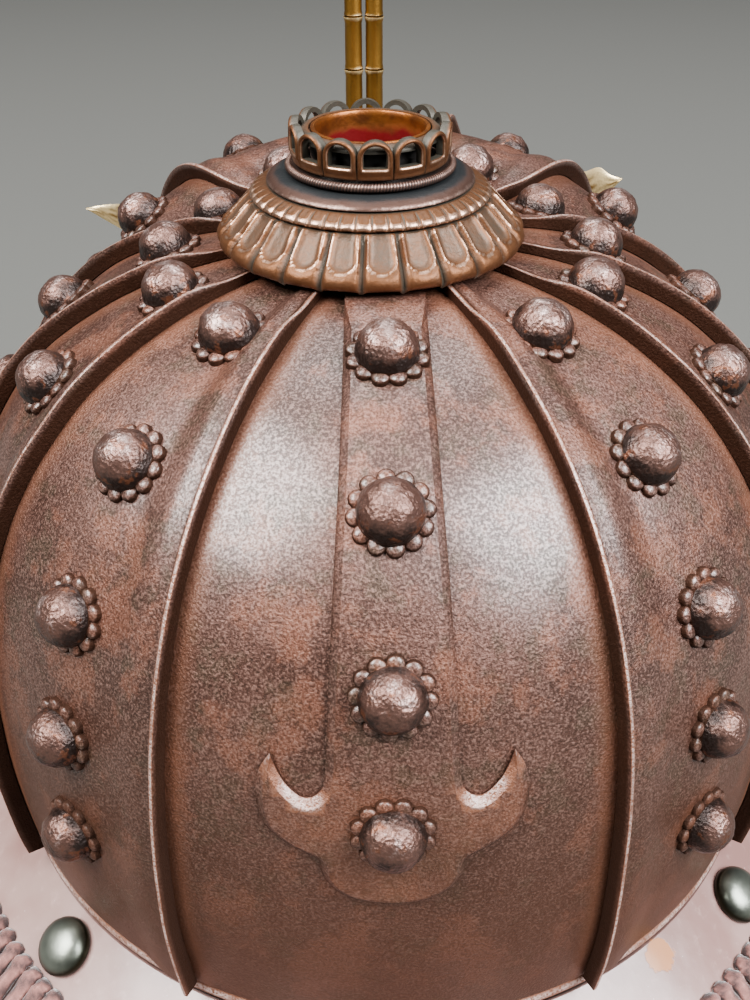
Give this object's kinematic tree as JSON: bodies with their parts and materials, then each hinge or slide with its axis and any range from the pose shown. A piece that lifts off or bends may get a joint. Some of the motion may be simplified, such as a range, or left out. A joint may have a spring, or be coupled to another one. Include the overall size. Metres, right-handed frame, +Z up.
{
  "type": "samurai helmet",
  "caption": "Riveted iron helmet bowl with raised ribs, a tiered pierced crown fitting, a flaring laced neck guard, a peak and a gilt bamboo crest.",
  "frame": {"origin": "centre of the bowl's rim, where the helmet sits round the head", "axes": "+Z up through the crown, -Y towards the peak, +X towards the wearer's left"},
  "size_m": [0.3174, 0.3147, 0.3076],
  "materials": {
    "russet_iron": "russet-brown lacquered iron, finely pitted, satin",
    "aged_copper": "brown patinated copper, bright on worn edges",
    "pale_lacquer": "pale pinkish-grey lacquer on iron, glossy and worn",
    "rose_cord": "dusty rose silk lacing cord",
    "silvered_iron": "tarnished silvered dome",
    "gilt": "aged gilding"
  },
  "bodies": {
    "root": {"bowl_plate_back": "russet_iron", "bowl_plate_left_1": "russet_iron", "bowl_plate_left_2": "russet_iron", "bowl_plate_left_3": "russet_iron", "bowl_plate_left_4": "russet_iron", "bowl_plate_left_5": "russet_iron", "bowl_plate_right_1": "russet_iron", "bowl_plate_right_2": "russet_iron", "bowl_plate_right_3": "russet_iron", "bowl_plate_right_4": "russet_iron", "bowl_plate_right_5": "russet_iron", "bowl_plate_front": "russet_iron", "back_overlay": "russet_iron", "rim_band": "russet_iron", "peak": "russet_iron", "crown_rosette": "aged_copper", "crown_beaded_ring": "aged_copper", "crown_domed_step": "aged_copper", "crown_rope_ring": "aged_copper", "crown_arcade": "aged_copper", "crown_tube": "aged_copper", "neck_lame_1": "pale_lacquer", "neck_lame_2": "pale_lacquer", "neck_lame_3": "pale_lacquer", "neck_lame_4": "pale_lacquer", "lacing_1": "rose_cord", "lacing_2": "rose_cord", "lacing_3": "rose_cord", "lame_rivet_left": "silvered_iron", "lame_rivet_right": "silvered_iron", "crest_holder": "gilt", "crest_stem_left": "gilt", "crest_stem_right": "gilt", "crest_leaf_left": "gilt", "crest_leaf_right": "gilt"}
  },
  "joints": []
}
